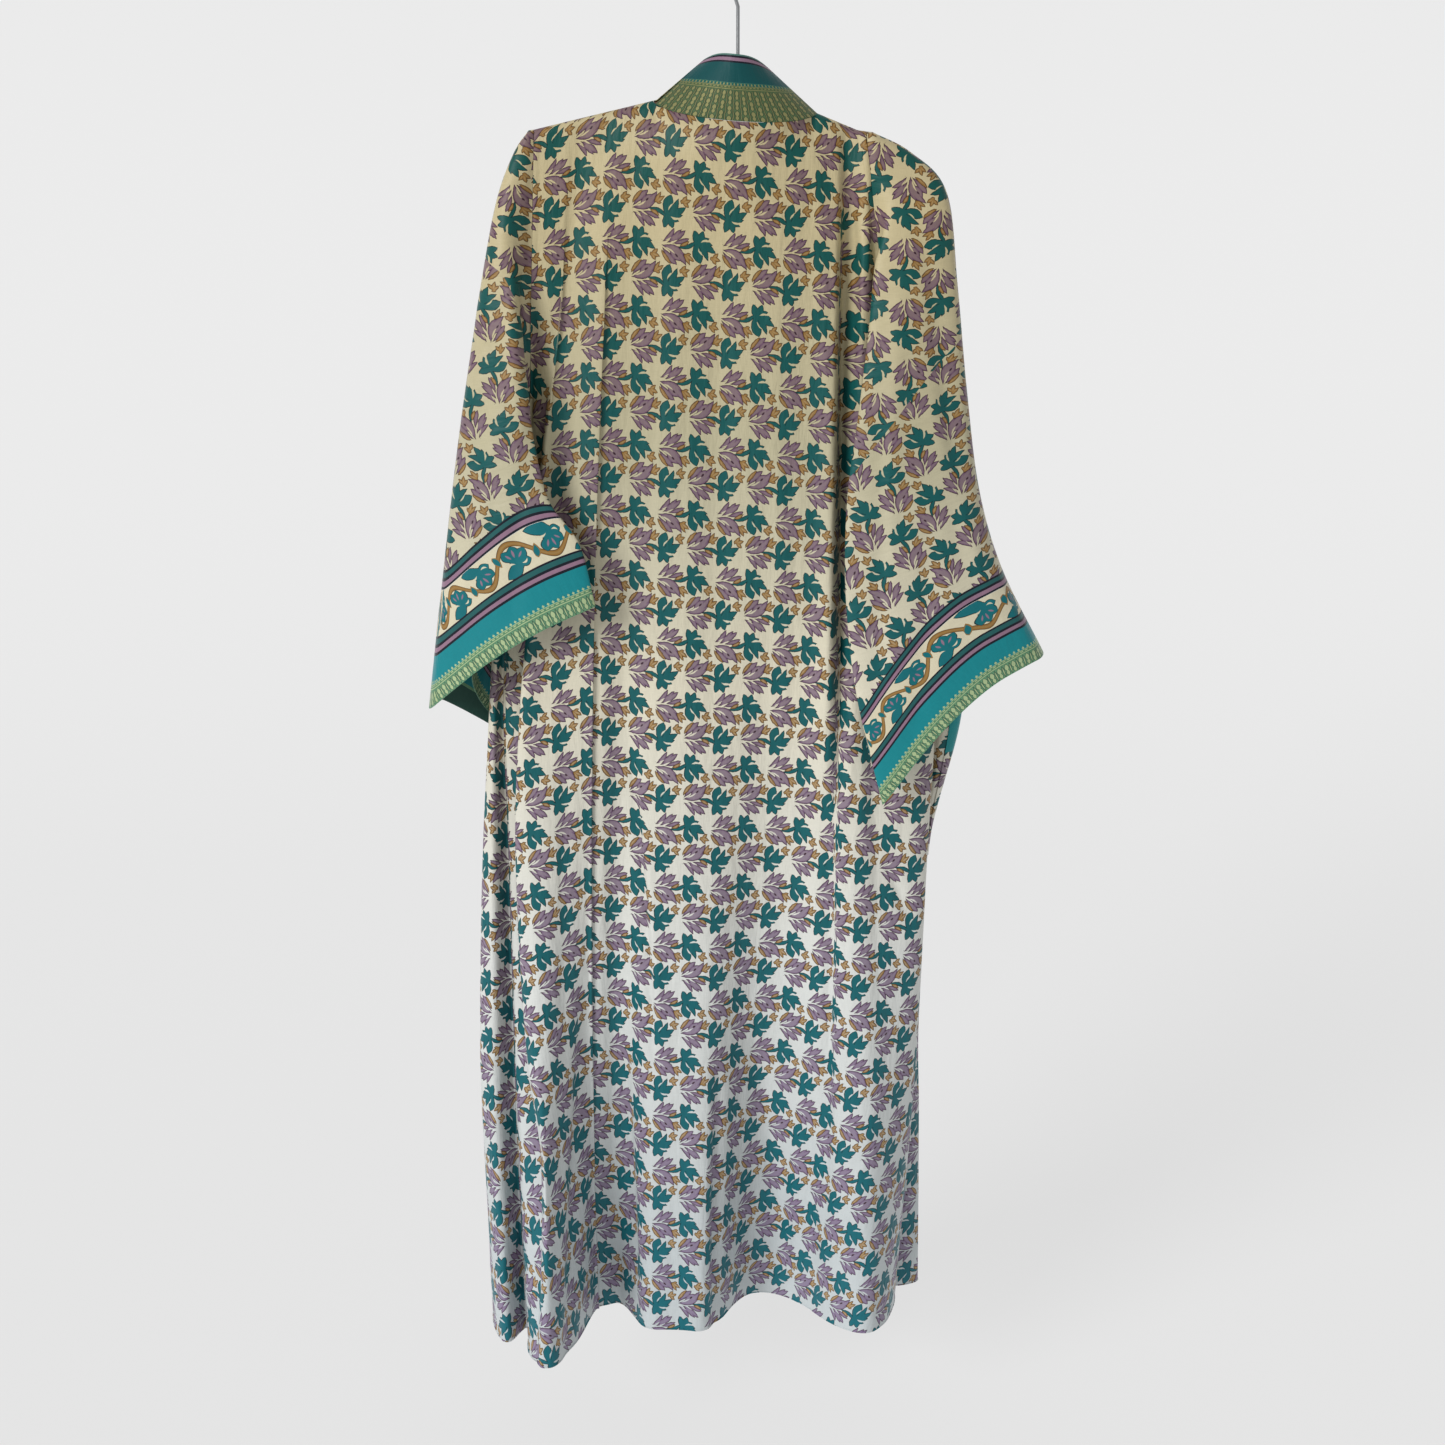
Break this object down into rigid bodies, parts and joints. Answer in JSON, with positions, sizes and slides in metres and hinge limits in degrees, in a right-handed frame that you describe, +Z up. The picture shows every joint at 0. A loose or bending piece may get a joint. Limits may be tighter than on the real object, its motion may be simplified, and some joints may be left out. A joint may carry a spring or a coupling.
{
  "type": "kimono robe on a hanger",
  "caption": "Long open-front robe of kimono cut in printed silk with wide bordered sleeves, hung from its shoulders on a plain bar hanger with a wire hook.",
  "frame": {"origin": "inside top of the hanger's hook, where a rail carries it", "axes": "+Z up, the back of the robe faces -Y, +X to the right of someone who looks at the back"},
  "size_m": [0.6384, 0.2197, 1.4716],
  "materials": {
    "printed_silk": "light crepe silk with a small printed floral repeat",
    "sleeve_silk": "the same printed silk with a printed and woven border",
    "band_silk": "teal silk with a woven gold-green border",
    "pocket_silk": "printed silk with a teal mouth",
    "bar_wood": "satin varnish",
    "hook_steel": "satin"
  },
  "bodies": {
    "root": {"back": "printed_silk", "front_left": "printed_silk", "front_right": "printed_silk", "sleeve_left": "sleeve_silk", "sleeve_right": "sleeve_silk", "neckband_back": "band_silk", "neckband_left": "band_silk", "neckband_right": "band_silk", "pocket_left": "pocket_silk", "pocket_right": "pocket_silk", "hanger": "bar_wood", "hanger_hook": "hook_steel"}
  },
  "joints": []
}
